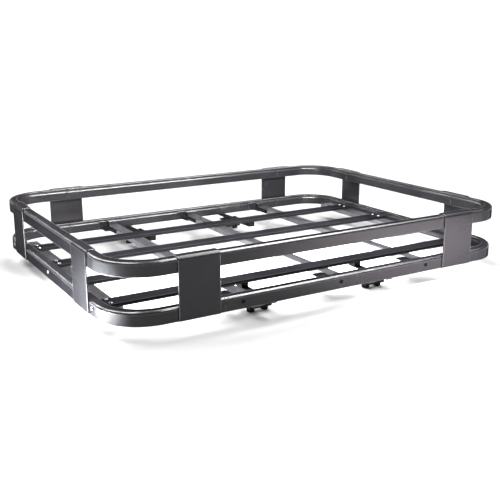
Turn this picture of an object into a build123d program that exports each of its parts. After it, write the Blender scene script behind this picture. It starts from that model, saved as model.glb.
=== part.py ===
from build123d import *
import os

os.makedirs("parts", exist_ok=True)

# overall sizes of the two rings
ring_length = 1400.0
ring_depth = 1075.0
ring_height = 170.0
bend_radius = 136.0

# rail section, its outer top edge rounded in narrow flats and a notch along the inner face
rail_height = 40.0
rail_depth = 26.0
rail_wall = 2.2
rail_top_round = 8.0
rail_round_flats = 4
rail_inner_chamfer = 5.0
notch_level = 30.0
notch_height = 5.0
notch_depth = 1.5

# joints between rails and bends, behind the plates
joint_from_end = 237.0
joint_gap = 3.0

# joint plates, bent over the upper rail
long_plate_width = 123.0
short_plate_width = 116.0
plate_thickness = 3.5
plate_edge_chamfer = 1.2

# floor slats along the length, a raised strip with a narrow foot on each side
slat_count = 4
slat_width = 64.0
slat_pitch = 217.5
slat_shift = -37.0
slat_top = 26.0
slat_height = 9.0
slat_wall = 2.5
slat_foot = 5.0
slat_foot_height = 2.5
slat_round = 1.5
slat_end_gap = 1.0

# cross bars under the slats, box section with lines pressed in the top
bar_pitch = 335.0
bar_count = 3
bar_shift = 38.0
bar_width = 41.0
end_bar_width = 54.0
bar_wall = 2.5
bar_end_gap = 0.5
line_count = 3
line_pitch = 9.0
line_width = 2.5
line_depth = 0.8

# angles that fasten the bars to the lower rails
angle_thickness = 3.0
angle_length = 35.0
angle_reach = 30.0
angle_low = 4.0
angle_top = 33.0

# mounting clamps that hang below the floor
clamp_xs = (-232.0, 190.0)
clamp_from_face = 90.0
hang = 50.0
strip_width = 24.0
strip_thickness = 5.0
strip_under_rail = 20.0
riser_width = 30.0
saddle_length = 74.0
saddle_width = 40.0
saddle_thickness = 5.0
saddle_lip = 4.0
bolt_spacing = 46.0
bolt_radius = 4.0
bolt_clearance = 0.5
head_radius = 7.5
head_height = 5.3
bar_slot = 22.0
jaw_thickness = 5.0
jaw_lip = 6.0
knob_radius = 13.0
knob_chamfer = 2.5

# heights and half sizes worked out from the above
base = hang
half_length = ring_length / 2
half_depth = ring_depth / 2
inner_half_x = half_length - rail_depth
inner_half_y = half_depth - rail_depth
upper_level = base + ring_height - rail_height
joint_x = half_length - joint_from_end
joint_y = half_depth - joint_from_end
rail_half_x = joint_x - joint_gap / 2
rail_half_y = joint_y - joint_gap / 2
leg = joint_from_end - joint_gap / 2 - bend_radius
hollow_left = -rail_depth + rail_wall + notch_depth
hollow_top = rail_height - rail_wall
bar_top = slat_top - slat_height
slat_ys = [slat_shift + (index - (slat_count - 1) / 2) * slat_pitch for index in range(slat_count)]
bar_xs = [bar_shift + (index - (bar_count - 1) / 2) * bar_pitch for index in range(bar_count)]
end_bar_x = inner_half_x - bar_end_gap - end_bar_width / 2
round_centre = Vector(-rail_top_round, rail_height - rail_top_round)
round_angles = [90 * step / rail_round_flats for step in range(rail_round_flats + 1)]
round_points = [round_centre + Vector(rail_top_round, 0).rotate(Axis.Z, angle) for angle in round_angles]
up = Vector(0, 0, 1)


# plane across a rail, its x axis pointing out of the basket
def section_plane(point, outward):
    out = Vector(*outward)
    return Plane(origin=point, x_dir=out, z_dir=out.cross(up))


# tube outline of a rail, outer face at x = 0 and underside at y = 0, drawn in the open sketch
def rail_section():
    with BuildLine() as outline:
        Polyline((-rail_depth, rail_height), (-rail_depth, notch_level + notch_height / 2),
                 (-rail_depth + notch_depth, notch_level), (-rail_depth, notch_level - notch_height / 2),
                 (-rail_depth, 0), (0, 0), *round_points, close=True)
    make_face(outline.edges())
    with BuildLine() as hollow:
        Polyline((hollow_left, rail_wall), (-rail_wall, rail_wall), (-rail_wall, hollow_top - rail_inner_chamfer),
                 (-rail_wall - rail_inner_chamfer, hollow_top), (hollow_left, hollow_top), close=True)
    make_face(hollow.edges(), mode=Mode.SUBTRACT)


# straight rail between two joints
def straight_rail(label, start, outward, length):
    with BuildPart() as rail:
        with BuildSketch(section_plane(start, outward)):
            rail_section()
        extrude(amount=length)
    rail.part.label = label
    export_step(rail.part, f"parts/{label}.step")


# quarter bend with its two straight legs
def corner_bend(label, side_x, side_y, level):
    centre_x = side_x * (half_length - bend_radius)
    centre_y = side_y * (half_depth - bend_radius)
    turn = -side_x * side_y
    first = section_plane((centre_x, side_y * half_depth, level), (0, side_y, 0))
    second = section_plane((side_x * half_length, centre_y, level), (side_x, 0, 0))
    with BuildPart() as bend:
        with BuildSketch(first):
            rail_section()
        revolve(axis=Axis((centre_x, centre_y, level), (0, 0, turn)), revolution_arc=90)
        with BuildSketch(first):
            rail_section()
        extrude(amount=turn * leg)
        with BuildSketch(second):
            rail_section()
        extrude(amount=-turn * leg)
    bend.part.label = label
    export_step(bend.part, f"parts/{label}.step")


# sheet plate over a joint of both rings, bent round the upper rail's top edge, its rim bevelled
def joint_plate(label, centre, outward, width):
    outer_round = rail_top_round + plate_thickness
    total_height = ring_height + plate_thickness
    with BuildPart() as plate:
        with BuildSketch(section_plane(centre, outward)) as outline:
            with Locations(((plate_thickness - rail_depth) / 2, total_height / 2)):
                Rectangle(plate_thickness + rail_depth, total_height)
            fillet(outline.vertices().group_by(Axis.X)[-1].sort_by(Axis.Y)[-1], outer_round)
            with BuildLine() as covered:
                Polyline((-rail_top_round, ring_height), (-rail_depth, ring_height), (-rail_depth, 0), (0, 0),
                         (0, ring_height - rail_top_round))
                RadiusArc((0, ring_height - rail_top_round), (-rail_top_round, ring_height), -rail_top_round)
            make_face(covered.edges(), mode=Mode.SUBTRACT)
        extrude(amount=width / 2, both=True)
        front_face = plate.faces().sort_by(Axis(centre, outward))[-1]
        chamfer(front_face.edges().filter_by(Axis.Z), plate_edge_chamfer)
    plate.part.label = label
    export_step(plate.part, f"parts/{label}.step")


# the two rings
for ring, level in (("lower", base), ("upper", upper_level)):
    for name, side in (("front", -1), ("back", 1)):
        straight_rail(f"{ring}_{name}_rail", (-side * rail_half_x, side * half_depth, level),
                      (0, side, 0), 2 * rail_half_x)
    for name, side in (("left", -1), ("right", 1)):
        straight_rail(f"{ring}_{name}_rail", (side * half_length, side * rail_half_y, level),
                      (side, 0, 0), 2 * rail_half_y)
    for deep, side_y in (("front", -1), ("back", 1)):
        for name, side_x in (("left", -1), ("right", 1)):
            corner_bend(f"{ring}_{deep}_{name}_bend", side_x, side_y, level)

# joint plates on the long and short sides
for deep, side_y in (("front", -1), ("back", 1)):
    for name, side_x in (("left", -1), ("right", 1)):
        joint_plate(f"plate_{deep}_{name}", (side_x * joint_x, side_y * half_depth, base), (0, side_y, 0),
                    long_plate_width)
        joint_plate(f"plate_{name}_{deep}", (side_x * half_length, side_y * joint_y, base), (side_x, 0, 0),
                    short_plate_width)

# floor slats between the short rails
slat_length = 2 * (inner_half_x - slat_end_gap)
slat_hollow = slat_width - 2 * slat_foot - 2 * slat_wall
for index, slat_y in enumerate(slat_ys):
    with BuildPart() as slat:
        with BuildSketch(Plane.YZ.offset(-slat_length / 2)) as profile:
            with Locations((slat_y, base + bar_top + slat_height / 2)):
                Rectangle(slat_width - 2 * slat_foot, slat_height)
            fillet(profile.vertices().group_by(Axis.Y)[-1], slat_round)
            with Locations((slat_y, base + bar_top + slat_foot_height / 2)):
                Rectangle(slat_width, slat_foot_height)
            with Locations((slat_y, base + bar_top + (slat_height - slat_wall) / 2)):
                Rectangle(slat_hollow, slat_height - slat_wall, mode=Mode.SUBTRACT)
        extrude(amount=slat_length)
    slat.part.label = f"slat_{index + 1}"
    export_step(slat.part, f"parts/slat_{index + 1}.step")

# cross bars, level with the underside of the lower ring
bar_length = 2 * (inner_half_y - bar_end_gap)
for index, bar_x in enumerate(bar_xs):
    with BuildPart() as bar:
        with BuildSketch(Plane.XZ.offset(-bar_length / 2)):
            with Locations((bar_x, base + bar_top / 2)):
                Rectangle(bar_width, bar_top)
                Rectangle(bar_width - 2 * bar_wall, bar_top - 2 * bar_wall, mode=Mode.SUBTRACT)
            with Locations((bar_x, base + bar_top - line_depth / 2)):
                with GridLocations(line_pitch, 0, line_count, 1):
                    Rectangle(line_width, line_depth, mode=Mode.SUBTRACT)
        extrude(amount=bar_length)
    bar.part.label = f"cross_bar_{index + 1}"
    export_step(bar.part, f"parts/cross_bar_{index + 1}.step")

# end bars against the lower short rails, under the slat ends
end_bar_length = 2 * (half_depth - bend_radius)
for name, side in (("left", -1), ("right", 1)):
    with BuildPart() as bar:
        with BuildSketch(Plane.XZ.offset(-end_bar_length / 2)):
            with Locations((side * end_bar_x, base + bar_top / 2)):
                Rectangle(end_bar_width, bar_top)
                Rectangle(end_bar_width - 2 * bar_wall, bar_top - 2 * bar_wall, mode=Mode.SUBTRACT)
        extrude(amount=end_bar_length)
    bar.part.label = f"end_bar_{name}"
    export_step(bar.part, f"parts/end_bar_{name}.step")

# angles at the bar ends, one leg on the rail and one on the bar's side
with BuildPart() as angles:
    with BuildSketch(Plane.XY.offset(base + angle_low)):
        for bar_x in bar_xs:
            bar_left = bar_x - bar_width / 2
            for side in (-1, 1):
                with Locations((bar_left - angle_length / 2, side * (inner_half_y - angle_thickness / 2))):
                    Rectangle(angle_length, angle_thickness)
                with Locations((bar_left - angle_thickness / 2, side * (inner_half_y - angle_reach / 2))):
                    Rectangle(angle_thickness, angle_reach)
    extrude(amount=angle_top - angle_low)
angles.part.label = "angles"
export_step(angles.part, "parts/angles.step")

# clamps: hanger strip from rail to slat with a saddle, and a jaw held by two bolts with knobs
saddle_top = base - strip_thickness
saddle_bottom = saddle_top - saddle_thickness
jaw_top = saddle_bottom - bar_slot
knob_top = jaw_top - jaw_thickness
clamp_y = half_depth - clamp_from_face
strip_out = inner_half_y + strip_under_rail
square_hole = 2 * (bolt_radius + bolt_clearance)
for deep, side_y, slat_y in (("front", -1, slat_ys[0]), ("back", 1, slat_ys[-1])):
    strip_in = abs(slat_y) - riser_width / 2
    for name, clamp_x in zip(("left", "right"), clamp_xs):
        tag = f"{deep}_{name}"
        bolt_spots = [(clamp_x + side * bolt_spacing / 2, side_y * clamp_y) for side in (-1, 1)]
        lip_xs = [clamp_x + side * (saddle_length - jaw_lip) / 2 for side in (-1, 1)]
        with BuildPart() as hanger:
            with BuildSketch(Plane.XY.offset(saddle_top)):
                with Locations((clamp_x, side_y * (strip_out + strip_in) / 2)):
                    Rectangle(strip_width, strip_out - strip_in)
            extrude(amount=strip_thickness)
            with BuildSketch(Plane.XY.offset(base)):
                with Locations((clamp_x, slat_y)):
                    Rectangle(strip_width, riser_width)
            extrude(amount=slat_top - slat_wall)
            with BuildSketch(Plane.XY.offset(saddle_bottom)):
                with Locations((clamp_x, side_y * clamp_y)):
                    Rectangle(saddle_length, saddle_width)
                with Locations(*bolt_spots):
                    Rectangle(square_hole, square_hole, mode=Mode.SUBTRACT)
            extrude(amount=saddle_thickness)
        hanger.part.label = f"hanger_{tag}"
        export_step(hanger.part, f"parts/hanger_{tag}.step")
        with BuildPart() as jaw:
            with BuildSketch(Plane.XY.offset(knob_top)):
                with Locations((clamp_x, side_y * clamp_y)):
                    Rectangle(saddle_length, saddle_width)
                with Locations(*bolt_spots):
                    Rectangle(square_hole, square_hole, mode=Mode.SUBTRACT)
            extrude(amount=jaw_thickness)
            with BuildSketch(Plane.XY.offset(jaw_top)):
                with Locations(*[(lip_x, side_y * clamp_y) for lip_x in lip_xs]):
                    Rectangle(jaw_lip, saddle_width)
            extrude(amount=jaw_lip)
        jaw.part.label = f"jaw_{tag}"
        export_step(jaw.part, f"parts/jaw_{tag}.step")
        with BuildPart() as bolts:
            with BuildSketch(Plane.XY):
                with Locations(*bolt_spots):
                    RegularPolygon(knob_radius, 6)
            extrude(amount=knob_top)
            chamfer(bolts.faces().sort_by(Axis.Z)[:2].edges(), knob_chamfer)
            with BuildSketch(Plane.XY.offset(knob_top)):
                with Locations(*bolt_spots):
                    Circle(bolt_radius)
            extrude(amount=saddle_top - knob_top)
            with BuildSketch(Plane.XY.offset(saddle_top)):
                with Locations(*bolt_spots):
                    RegularPolygon(head_radius, 6)
            extrude(amount=head_height)
        bolts.part.label = f"bolts_{tag}"
        export_step(bolts.part, f"parts/bolts_{tag}.step")
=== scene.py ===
import math
import bpy
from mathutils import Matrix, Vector


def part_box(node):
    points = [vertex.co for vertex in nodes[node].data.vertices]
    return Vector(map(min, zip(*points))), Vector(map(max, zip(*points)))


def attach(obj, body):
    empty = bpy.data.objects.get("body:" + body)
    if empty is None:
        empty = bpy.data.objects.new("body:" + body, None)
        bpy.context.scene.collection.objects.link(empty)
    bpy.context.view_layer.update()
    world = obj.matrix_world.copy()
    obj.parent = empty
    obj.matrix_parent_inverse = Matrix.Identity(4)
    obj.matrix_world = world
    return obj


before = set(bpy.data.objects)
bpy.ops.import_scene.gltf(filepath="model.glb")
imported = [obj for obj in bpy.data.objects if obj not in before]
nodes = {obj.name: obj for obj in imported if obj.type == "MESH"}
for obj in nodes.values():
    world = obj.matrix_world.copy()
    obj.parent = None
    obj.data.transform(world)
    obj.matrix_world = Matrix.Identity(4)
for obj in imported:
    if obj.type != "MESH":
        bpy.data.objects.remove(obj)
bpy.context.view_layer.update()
print("frame loaded,", len(nodes), "nodes")


# sRGB hex to the linear values that shaders take
def linear(hexText):
    parts = [int(hexText[i:i + 2], 16) / 255 for i in (1, 3, 5)]
    return [p / 12.92 if p <= 0.04045 else ((p + 0.055) / 1.055) ** 2.4 for p in parts] + [1.0]


# adds one node: settings are its properties, inputs are values or the sockets that feed it
def addNode(tree, kind, inputs=None, stops=None, **settings):
    node = tree.nodes.new(kind)
    for name, value in settings.items():
        setattr(node, name, value)
    for name, value in (inputs or {}).items():
        if isinstance(value, bpy.types.NodeSocket):
            tree.links.new(value, node.inputs[name])
        else:
            node.inputs[name].default_value = value
    for index, (place, colour) in enumerate(stops or []):
        element = node.color_ramp.elements[index]
        element.position = place
        element.color = linear(colour)
    return node


# camera, set from the rails' corners in the photograph
shot = {
    "place": (-1.30788, -2.17661, 0.73675),
    "yaw": 31.3,
    "pitch": 15.34,
    "lens": 54.05,
    "sensor": 36,
    "clipEnd": 60,
}

cameraData = bpy.data.cameras.new("camera")
cameraData.lens = shot["lens"]
cameraData.sensor_width = shot["sensor"]
cameraData.clip_end = shot["clipEnd"]
camera = bpy.data.objects.new("camera", cameraData)
bpy.context.scene.collection.objects.link(camera)
camera.location = shot["place"]
camera.rotation_euler = (math.radians(90 - shot["pitch"]), 0, math.radians(-shot["yaw"]))
bpy.context.scene.camera = camera
print("camera set")

# studio: plain matt floor lit till it is white, white horizon, dim sky above it and a little light overhead;
# the levels stand at rises, which are sines of the angle above the horizon
studio = {
    "floorHex": "#979797",
    "floorSize": 60.0,
    "horizonLevel": 1.05,
    "horizonRise": 0.1,
    "dimLevel": 0.05,
    "dimRises": (0.16, 0.55),
    "overheadLevel": 0.3,
    "overheadRise": 0.72,
    "curveTop": 2.0,
}

# lamps in the sky: direction, brightness, and half angles in degrees of the full and the faded disc
skyLamps = {
    "rightNear": ((0.5, -0.45, 0.74), 25.0, 7.0, 12.0),
    "rightMiddle": ((0.53, -0.05, 0.85), 25.0, 7.0, 12.0),
    "rightFar": ((0.5, 0.35, 0.79), 25.0, 7.0, 12.0),
    "highLeft": ((-0.34, -0.02, 0.93), 19.0, 10.0, 16.0),
    "leftHigh": ((-0.46, 0.42, 0.78), 19.0, 10.0, 16.0),
    "backLeft": ((-0.26, 0.82, 0.5), 25.0, 7.0, 12.0),
}

floorMesh = bpy.data.meshes.new("floor")
half = studio["floorSize"] / 2
floorMesh.from_pydata([(-half, -half, 0), (half, -half, 0), (half, half, 0), (-half, half, 0)], [], [(0, 1, 2, 3)])
floor = bpy.data.objects.new("floor", floorMesh)
bpy.context.scene.collection.objects.link(floor)
floorPaint = bpy.data.materials.new("matt_floor")
floorPaint.use_nodes = True
floorInputs = floorPaint.node_tree.nodes["Principled BSDF"].inputs
floorInputs["Base Color"].default_value = linear(studio["floorHex"])
floorInputs["Roughness"].default_value = 1.0
floorInputs["Specular IOR Level"].default_value = 0.0
floorMesh.materials.append(floorPaint)

world = bpy.data.worlds.new("studio")
world.use_nodes = True
sky = world.node_tree
background = sky.nodes["Background"]
background.inputs["Color"].default_value = (1, 1, 1, 1)
way = addNode(sky, "ShaderNodeTexCoord").outputs["Generated"]
upward = addNode(sky, "ShaderNodeSeparateXYZ", {"Vector": way})
band = addNode(sky, "ShaderNodeFloatCurve", {"Value": upward.outputs["Z"]})
skyLine = band.mapping.curves[0]
horizonHeight, dimHeight, overheadHeight = [
    studio[level] / studio["curveTop"] for level in ("horizonLevel", "dimLevel", "overheadLevel")]
skyLine.points[0].location = (0.0, horizonHeight)
skyLine.points[1].location = (1.0, overheadHeight)
skyLine.points.new(studio["horizonRise"], horizonHeight)
for rise in studio["dimRises"]:
    skyLine.points.new(rise, dimHeight)
skyLine.points.new(studio["overheadRise"], overheadHeight)
for point in skyLine.points:
    point.handle_type = "VECTOR"
band.mapping.update()
total = addNode(sky, "ShaderNodeMath", {0: band.outputs["Value"], 1: studio["curveTop"]},
                operation="MULTIPLY").outputs["Value"]
for direction, brightness, inner, outer in skyLamps.values():
    nearness = addNode(sky, "ShaderNodeVectorMath", {0: way, 1: Vector(direction).normalized()},
                       operation="DOT_PRODUCT")
    disc = addNode(sky, "ShaderNodeMapRange", {"Value": nearness.outputs["Value"],
                                               "From Min": math.cos(math.radians(outer)),
                                               "From Max": math.cos(math.radians(inner)),
                                               "To Max": brightness}, interpolation_type="SMOOTHSTEP")
    total = addNode(sky, "ShaderNodeMath", {0: total, 1: disc.outputs["Result"]}).outputs["Value"]
sky.links.new(total, background.inputs["Strength"])
bpy.context.scene.world = world

# soft-edged spots on the floor beyond the picture, whose bright pools the coat mirrors:
# place, target, cone in degrees, watts, tint
floorSpots = {
    "rightPool": ((0.9, -1.65, 1.4), (0.82, -1.2, 0.0), 38, 1600, (1.0, 0.92, 1.0)),
    "middlePool": ((0.42, -1.4, 1.4), (0.36, -0.9, 0.0), 35, 950, (1.0, 0.92, 1.0)),
    "leftPool": ((-1.3, -0.08, 1.3), (-1.08, -0.08, 0.0), 34, 2500, (0.86, 0.92, 1.0)),
    "cornerPool": ((-1.3, -0.45, 1.3), (-1.0, -0.35, 0.0), 22, 11000, (0.94, 0.95, 1.0)),
}

spotBlend = 0.85
spotSoftness = 0.12

# a long soft box that faces the back rails' inner faces, and a glow that keeps the floor under the slats white:
# place, target, width, height, watts
softPanels = {
    "insideStrip": ((0.0, -0.3, 0.6), (0.0, 0.53, 0.14), 1.3, 0.2, 42),
    "floorGlow": ((0.0, -0.12, 0.047), (0.0, -0.12, 0.0), 1.3, 0.5, 34),
}


def placeLight(name, kind, place, target, power):
    data = bpy.data.lights.new(name, kind)
    data.energy = power
    light = bpy.data.objects.new(name, data)
    light.location = place
    light.rotation_euler = (Vector(target) - Vector(place)).to_track_quat("-Z", "Y").to_euler()
    bpy.context.scene.collection.objects.link(light)
    return data


for name, (place, target, cone, power, tint) in floorSpots.items():
    spot = placeLight(name, "SPOT", place, target, power)
    spot.color = tint
    spot.spot_size = math.radians(cone)
    spot.spot_blend = spotBlend
    spot.shadow_soft_size = spotSoftness
for name, (place, target, width, height, power) in softPanels.items():
    panel = placeLight(name, "AREA", place, target, power)
    panel.shape = "RECTANGLE"
    panel.size = width
    panel.size_y = height
bpy.context.scene.view_settings.view_transform = "Standard"
print("studio lit")

# coats and metals: scales are per metre of object space, edges and heights are in metres
# graphite powder coat over aluminium: a satin near-black that mirrors the floor softly, with a painted highlight of
# extra gloss along the edges, and a faint orange peel, about 1 mm in the real film and drawn at 3 mm so that it
# shows
graphite = {
    "hollow": "#171618",
    "crest": "#1f1e21",
    "glossFacing": 0.27,
    "glossEdge": 0.001,
    "smooth": 0.2,
    "rough": 0.28,
    "filmScale": 6.0,
    "peelScale": 330.0,
    "peelHeight": 0.00005,
    "edge": 0.0036,
    # painted highlight: extra gloss added along the edges
    "edgeHighlightLevel": 0.95,
}

# fine-textured black powder coat on the slats, nearly matt, grit of 1 mm drawn at 3 mm
texturedBlack = {
    "hollow": "#0f0f11",
    "crest": "#161619",
    "glossFacing": 0.1,
    "glossEdge": 0.008,
    "smooth": 0.42,
    "rough": 0.56,
    "filmScale": 9.0,
    "peelScale": 330.0,
    "peelHeight": 0.0002,
    "edge": 0.0008,
    # painted highlight: a little extra gloss added along the edges
    "edgeHighlightLevel": 0.1,
}

# black paint on the clamps' steel strip, dull and a little uneven
clampPaint = {
    "hollow": "#0a0a0b",
    "crest": "#121213",
    "glossFacing": 0.1,
    "glossEdge": 0.008,
    "smooth": 0.36,
    "rough": 0.5,
    "filmScale": 22.0,
    "peelScale": 400.0,
    "peelHeight": 0.0001,
    "edge": 0.0008,
    # painted highlight: a little extra gloss added along the edges
    "edgeHighlightLevel": 0.1,
}

# how coats and metals read their noises: the detail of each, and the values that tones and gloss run between
noise = {
    "cloudDetail": 3.0,
    "grainDetail": 2.0,
    "low": 0.3,
    "high": 0.7,
    "sumLow": 0.75,
    "sumHigh": 1.0,
}

# where a coat's gloss fades as its face turns edge on, and how far the softened normal turns where the painted edge
# highlight is added
coatLimits = {
    "facingBlend": 0.5,
    "glossFrom": 0.35,
    "glossTo": 0.72,
    "flatEdge": 0.999,
    "highlightEdge": 0.99,
    "edgeSamples": 6,
    "peelStrength": 0.4,
}


def coatedMetal(name, finish):
    material = bpy.data.materials.new(name)
    material.use_nodes = True
    tree = material.node_tree
    tree.nodes.clear()
    place = addNode(tree, "ShaderNodeTexCoord").outputs["Object"]
    film = addNode(tree, "ShaderNodeTexNoise", {"Vector": place, "Scale": finish["filmScale"],
                                                "Detail": noise["cloudDetail"]})
    peel = addNode(tree, "ShaderNodeTexNoise", {"Vector": place, "Scale": finish["peelScale"],
                                                "Detail": noise["grainDetail"]})
    tone = addNode(tree, "ShaderNodeValToRGB", {"Fac": film.outputs["Fac"]},
                   [(noise["low"], finish["hollow"]), (noise["high"], finish["crest"])])
    gloss = addNode(tree, "ShaderNodeMapRange", {"Value": film.outputs["Fac"],
                                                 "From Min": noise["low"], "From Max": noise["high"],
                                                 "To Min": finish["smooth"], "To Max": finish["rough"]})
    softEdge = addNode(tree, "ShaderNodeBevel", {"Radius": finish["edge"]}, samples=coatLimits["edgeSamples"])
    relief = addNode(tree, "ShaderNodeBump", {"Height": peel.outputs["Fac"], "Strength": coatLimits["peelStrength"],
                                              "Distance": finish["peelHeight"],
                                              "Normal": softEdge.outputs["Normal"]})
    slant = addNode(tree, "ShaderNodeLayerWeight", {"Blend": coatLimits["facingBlend"],
                                                    "Normal": softEdge.outputs["Normal"]})
    sheen = addNode(tree, "ShaderNodeMapRange", {"Value": slant.outputs["Facing"],
                                                 "From Min": coatLimits["glossFrom"],
                                                 "From Max": coatLimits["glossTo"],
                                                 "To Min": finish["glossFacing"], "To Max": finish["glossEdge"]})
    # painted highlight: extra gloss added along the edges, where the softened normal turns away from the flat face
    flat = addNode(tree, "ShaderNodeNewGeometry").outputs["Normal"]
    turned = addNode(tree, "ShaderNodeVectorMath", {0: softEdge.outputs["Normal"], 1: flat}, operation="DOT_PRODUCT")
    paintedHighlight = addNode(tree, "ShaderNodeMapRange", {"Value": turned.outputs["Value"],
                                                    "From Min": coatLimits["flatEdge"],
                                                    "From Max": coatLimits["highlightEdge"],
                                                    "To Max": finish["edgeHighlightLevel"]})
    shine = addNode(tree, "ShaderNodeMath", {0: sheen.outputs["Result"], 1: paintedHighlight.outputs["Result"]},
                    operation="ADD")
    coat = addNode(tree, "ShaderNodeBsdfPrincipled", {"Base Color": tone.outputs["Color"],
                                                      "Specular IOR Level": shine.outputs["Value"],
                                                      "Roughness": gloss.outputs["Result"],
                                                      "Normal": relief.outputs["Normal"]})
    addNode(tree, "ShaderNodeOutputMaterial", {"Surface": coat.outputs["BSDF"]})
    return material


# mill-finish aluminium bars: pale bare metal with die lines along the bar,
# about 0.3 mm apart on the real extrusion and drawn at 2 mm so that they show
millBar = {
    "dragged": "#626266",
    "bright": "#85858a",
    "smooth": 0.28,
    "rough": 0.4,
    "acrossScale": 500.0,
    "alongScale": 5.0,
    "cloudScale": 16.0,
    "lineHeight": 0.00005,
    "lineStrength": 0.3,
}

# zinc-plated screws, bolts and washers: bluish bright metal with a faint cloud
zincPlate = {
    "dragged": "#6c6c72",
    "bright": "#96969c",
    "smooth": 0.2,
    "rough": 0.36,
    "acrossScale": 240.0,
    "alongScale": 240.0,
    "cloudScale": 120.0,
    "lineHeight": 0.00002,
    "lineStrength": 0.3,
}


def bareMetal(name, finish):
    material = bpy.data.materials.new(name)
    material.use_nodes = True
    tree = material.node_tree
    tree.nodes.clear()
    place = addNode(tree, "ShaderNodeTexCoord").outputs["Object"]
    drawn = addNode(tree, "ShaderNodeMapping",
                    {"Vector": place, "Scale": (finish["acrossScale"], finish["alongScale"], finish["acrossScale"])})
    lines = addNode(tree, "ShaderNodeTexNoise", {"Vector": drawn.outputs["Vector"], "Scale": 1.0,
                                                 "Detail": noise["grainDetail"]})
    cloud = addNode(tree, "ShaderNodeTexNoise", {"Vector": place, "Scale": finish["cloudScale"],
                                                 "Detail": noise["cloudDetail"]})
    blend = addNode(tree, "ShaderNodeMath", {0: lines.outputs["Fac"], 1: cloud.outputs["Fac"]}, operation="ADD")
    tone = addNode(tree, "ShaderNodeValToRGB", {"Fac": blend.outputs["Value"]},
                   [(noise["sumLow"], finish["dragged"]), (noise["sumHigh"], finish["bright"])])
    gloss = addNode(tree, "ShaderNodeMapRange", {"Value": lines.outputs["Fac"],
                                                 "From Min": noise["low"], "From Max": noise["high"],
                                                 "To Min": finish["smooth"], "To Max": finish["rough"]})
    relief = addNode(tree, "ShaderNodeBump", {"Height": lines.outputs["Fac"], "Strength": finish["lineStrength"],
                                              "Distance": finish["lineHeight"]})
    metal = addNode(tree, "ShaderNodeBsdfPrincipled", {"Base Color": tone.outputs["Color"], "Metallic": 1.0,
                                                       "Roughness": gloss.outputs["Result"],
                                                       "Normal": relief.outputs["Normal"]})
    addNode(tree, "ShaderNodeOutputMaterial", {"Surface": metal.outputs["BSDF"]})
    return material


# black oxide on the rail screws: nearly black and dull, with a fine mottle of about 2 mm
blackOxide = {
    "hollow": "#040405",
    "crest": "#0a0a0c",
    "glossFacing": 0.1,
    "glossEdge": 0.05,
    "smooth": 0.2,
    "rough": 0.3,
    "filmScale": 500.0,
    "peelScale": 900.0,
    "peelHeight": 0.00002,
    "edge": 0.0003,
    "edgeHighlightLevel": 0.0,
}

graphiteCoat = coatedMetal("graphite_powder_coat", graphite)
slatCoat = coatedMetal("textured_black_powder_coat", texturedBlack)
clampCoat = coatedMetal("black_painted_steel", clampPaint)
millAluminium = bareMetal("mill_finish_aluminium", millBar)
zincSteel = bareMetal("zinc_plated_steel", zincPlate)
oxideSteel = coatedMetal("black_oxide_steel", blackOxide)
print("materials made")

finishes = {
    "slat_": slatCoat,
    "cross_bar_": millAluminium,
    "end_bar_": millAluminium,
    "hanger_": clampCoat,
    "jaw_": clampCoat,
    "bolts_": clampCoat,
}

for name, node in nodes.items():
    material = next((finish for start, finish in finishes.items() if name.startswith(start)), graphiteCoat)
    node.data.materials.clear()
    node.data.materials.append(material)
print("CAD nodes finished")

# button-head screws with a socket: on the outer faces of the lower ring, at one level, and on the slats' ends
screw = {
    "headRadius": 0.0058,
    "headHeight": 0.0028,
    "segments": 24,
    "merge": 0.00001,
    "level": 0.071,
    "railXs": (-0.332, 0.0, 0.332),
    "sideYs": (-0.383, 0.0, 0.383),
    "slatEnd": 0.026,
    "slatSide": 0.015,
}

# profile of the head from the rim in to the socket's floor: radius and height as shares of the head
headProfile = [(1.0, 0.0), (1.0, 0.25), (0.93, 0.55), (0.78, 0.82), (0.58, 0.96), (0.46, 1.0), (0.42, 0.95),
               (0.42, 0.35), (0.0, 0.3)]


# a new geometry tree with its named inputs, and the node that hands them out
def startTree(name, inputKinds):
    tree = bpy.data.node_groups.new(name, "GeometryNodeTree")
    tree.interface.new_socket("Geometry", in_out="INPUT", socket_type="NodeSocketGeometry")
    for label, kind in inputKinds.items():
        tree.interface.new_socket(label, in_out="INPUT", socket_type=kind)
    tree.interface.new_socket("Geometry", in_out="OUTPUT", socket_type="NodeSocketGeometry")
    return tree, addNode(tree, "NodeGroupInput")


# the end of such a tree: the shape at every spot, turned to face the spot's way, as one mesh with its material
def finishTree(tree, spots, shape, material):
    facing = addNode(tree, "GeometryNodeInputNamedAttribute", {"Name": "facing"}, data_type="FLOAT_VECTOR")
    turned = addNode(tree, "FunctionNodeAlignRotationToVector", {"Vector": facing.outputs["Attribute"]}, axis="Z")
    placed = addNode(tree, "GeometryNodeInstanceOnPoints", {"Points": spots.outputs["Geometry"], "Instance": shape,
                                                            "Rotation": turned.outputs["Rotation"]})
    solid = addNode(tree, "GeometryNodeRealizeInstances", {"Geometry": placed.outputs["Instances"]})
    finished = addNode(tree, "GeometryNodeSetMaterial", {"Geometry": solid.outputs["Geometry"],
                                                         "Material": material})
    addNode(tree, "NodeGroupOutput", {"Geometry": finished.outputs["Geometry"]})
    return tree


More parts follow.
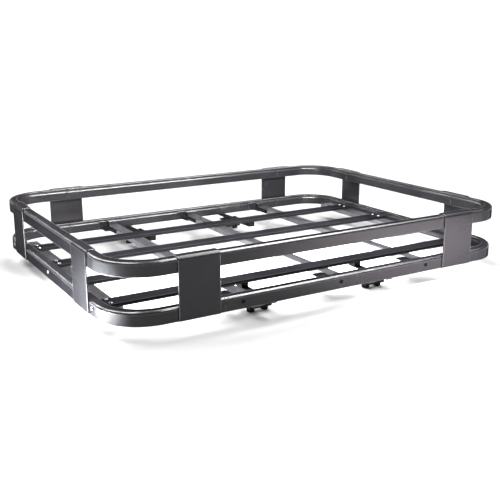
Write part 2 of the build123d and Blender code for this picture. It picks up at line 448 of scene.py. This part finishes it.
def screwTree(material):
    tree, spots = startTree("screwHeads", {"Head Radius": "NodeSocketFloat", "Head Height": "NodeSocketFloat"})
    rings = len(headProfile)
    sheet = addNode(tree, "GeometryNodeMeshGrid", {"Size X": 1.0, "Size Y": 1.0,
                                                   "Vertices X": screw["segments"] + 1, "Vertices Y": rings})
    here = addNode(tree, "GeometryNodeInputPosition")
    split = addNode(tree, "ShaderNodeSeparateXYZ", {"Vector": here.outputs["Position"]})
    turn = addNode(tree, "ShaderNodeMath", {0: split.outputs["X"], 1: 2 * math.pi}, operation="MULTIPLY")
    rise = addNode(tree, "ShaderNodeMath", {0: split.outputs["Y"], 1: 0.5}, operation="ADD")
    radiusCurve = addNode(tree, "ShaderNodeFloatCurve", {"Value": rise.outputs["Value"]})
    heightCurve = addNode(tree, "ShaderNodeFloatCurve", {"Value": rise.outputs["Value"]})
    for curveNode, column in ((radiusCurve, 0), (heightCurve, 1)):
        line = curveNode.mapping.curves[0]
        line.points[0].location = (0.0, headProfile[0][column])
        line.points[1].location = (1.0, headProfile[-1][column])
        for index in range(1, rings - 1):
            line.points.new(index / (rings - 1), headProfile[index][column])
        for point in line.points:
            point.handle_type = "VECTOR"
        curveNode.mapping.update()
    radius = addNode(tree, "ShaderNodeMath", {0: radiusCurve.outputs["Value"], 1: spots.outputs["Head Radius"]},
                     operation="MULTIPLY")
    height = addNode(tree, "ShaderNodeMath", {0: heightCurve.outputs["Value"], 1: spots.outputs["Head Height"]},
                     operation="MULTIPLY")
    cosine = addNode(tree, "ShaderNodeMath", {0: turn.outputs["Value"]}, operation="COSINE")
    sine = addNode(tree, "ShaderNodeMath", {0: turn.outputs["Value"]}, operation="SINE")
    across = addNode(tree, "ShaderNodeMath", {0: radius.outputs["Value"], 1: cosine.outputs["Value"]},
                     operation="MULTIPLY")
    aside = addNode(tree, "ShaderNodeMath", {0: radius.outputs["Value"], 1: sine.outputs["Value"]},
                    operation="MULTIPLY")
    point = addNode(tree, "ShaderNodeCombineXYZ", {"X": across.outputs["Value"], "Y": aside.outputs["Value"],
                                                   "Z": height.outputs["Value"]})
    lathed = addNode(tree, "GeometryNodeSetPosition", {"Geometry": sheet.outputs["Mesh"],
                                                       "Position": point.outputs["Vector"]})
    closed = addNode(tree, "GeometryNodeMergeByDistance", {"Geometry": lathed.outputs["Geometry"],
                                                           "Distance": screw["merge"]})
    return finishTree(tree, spots, closed.outputs["Geometry"], material)


# spots are places with the way that the screw faces; the rails' faces are taken from the frame
railOut = -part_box("lower_front_rail")[0].y
railIn = -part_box("lower_front_rail")[1].y
sideOut = -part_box("lower_left_rail")[0].x
slatCount = sum(name.startswith("slat_") for name in nodes)
barCount = sum(name.startswith("cross_bar_") for name in nodes)
railSpots = [((x, way * railOut, screw["level"]), (0, way, 0)) for x in screw["railXs"] for way in (-1, 1)]
brightSpots = [((way * sideOut, y, screw["level"]), (way, 0, 0)) for y in screw["sideYs"] for way in (-1, 1)]
for index in range(1, slatCount + 1):
    low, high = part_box(f"slat_{index}")
    for x in (low.x + screw["slatEnd"], high.x - screw["slatEnd"]):
        for y in (low.y + screw["slatSide"], high.y - screw["slatSide"]):
            brightSpots.append(((x, y, high.z), (0, 0, 1)))


# runs a tree on a list of spots and keeps the result as a plain mesh
def scatter(name, spots, tree, values):
    mesh = bpy.data.meshes.new(name + "Spots")
    mesh.from_pydata([place for place, way in spots], [], [])
    facing = mesh.attributes.new("facing", "FLOAT_VECTOR", "POINT")
    for item, (place, way) in zip(facing.data, spots):
        item.vector = way
    holder = bpy.data.objects.new(name + "Spots", mesh)
    bpy.context.scene.collection.objects.link(holder)
    modifier = holder.modifiers.new("copies", "NODES")
    modifier.node_group = tree
    named = {item.name: item.identifier for item in tree.interface.items_tree if item.in_out == "INPUT"}
    for label, value in values.items():
        modifier[named[label]] = value
    bpy.context.view_layer.update()
    evaluated = holder.evaluated_get(bpy.context.evaluated_depsgraph_get())
    plain = bpy.data.meshes.new_from_object(evaluated)
    holder.modifiers.remove(modifier)
    bpy.data.objects.remove(holder)
    piece = bpy.data.objects.new(name, plain)
    bpy.context.scene.collection.objects.link(piece)
    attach(piece, "root")
    return piece


headValues = {"Head Radius": screw["headRadius"], "Head Height": screw["headHeight"]}
railHeads = scatter("rail_screw_heads", railSpots, screwTree(oxideSteel), headValues)
brightHeads = scatter("bright_screw_heads", brightSpots, screwTree(zincSteel), headValues)
print("screws placed,", len(railSpots) + len(brightSpots))

# black angle brackets along the left side of each cross bar's ends
bracket = {
    "flange": 0.040,
    "drop": 0.016,
    "sheet": 0.003,
    "bend": 0.005,
    "bendSteps": 5,
    "fromRail": 0.030,
    "fromBar": 0.0001,
    "length": 0.0615,
}


# the bracket's section in x and z, from the bar's top edge, drawn out along y
def bracketMesh():
    flange, drop, sheet, bend = [bracket[name] for name in ("flange", "drop", "sheet", "bend")]
    turns = [math.pi / 2 * step / bracket["bendSteps"] for step in range(bracket["bendSteps"] + 1)]
    section = [(0.0, -drop)] + [(bend * math.cos(turn) - bend, bend * math.sin(turn) - bend) for turn in turns]
    section += [(-flange, 0.0), (-flange, -sheet), (-sheet, -sheet), (-sheet, -drop)]
    corners = len(section)
    ends = [tuple(range(corners)), tuple(range(2 * corners - 1, corners - 1, -1))]
    sides = [(i, i + corners, (i + 1) % corners + corners, (i + 1) % corners) for i in range(corners)]
    mesh = bpy.data.meshes.new("bracketShape")
    mesh.from_pydata([(x, y, z) for y in (-bracket["length"] / 2, bracket["length"] / 2) for x, z in section], [],
                     ends + sides)
    return mesh


def bracketTree(material):
    tree, spots = startTree("bracketCopies", {"Shape": "NodeSocketObject"})
    shape = addNode(tree, "GeometryNodeObjectInfo", {"Object": spots.outputs["Shape"]})
    return finishTree(tree, spots, shape.outputs["Geometry"], material)


bracketShape = bpy.data.objects.new("bracketShape", bracketMesh())
bpy.context.scene.collection.objects.link(bracketShape)
bracketY = railIn - bracket["fromRail"] - bracket["length"] / 2
bracketSpots = []
for index in range(1, barCount + 1):
    low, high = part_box(f"cross_bar_{index}")
    bracketSpots += [((low.x - bracket["fromBar"], way * bracketY, high.z), (0, 0, 1)) for way in (-1, 1)]
brackets = scatter("bar_brackets", bracketSpots, bracketTree(clampCoat), {"Shape": bracketShape})
bpy.data.objects.remove(bracketShape)
print("brackets placed,", len(bracketSpots))
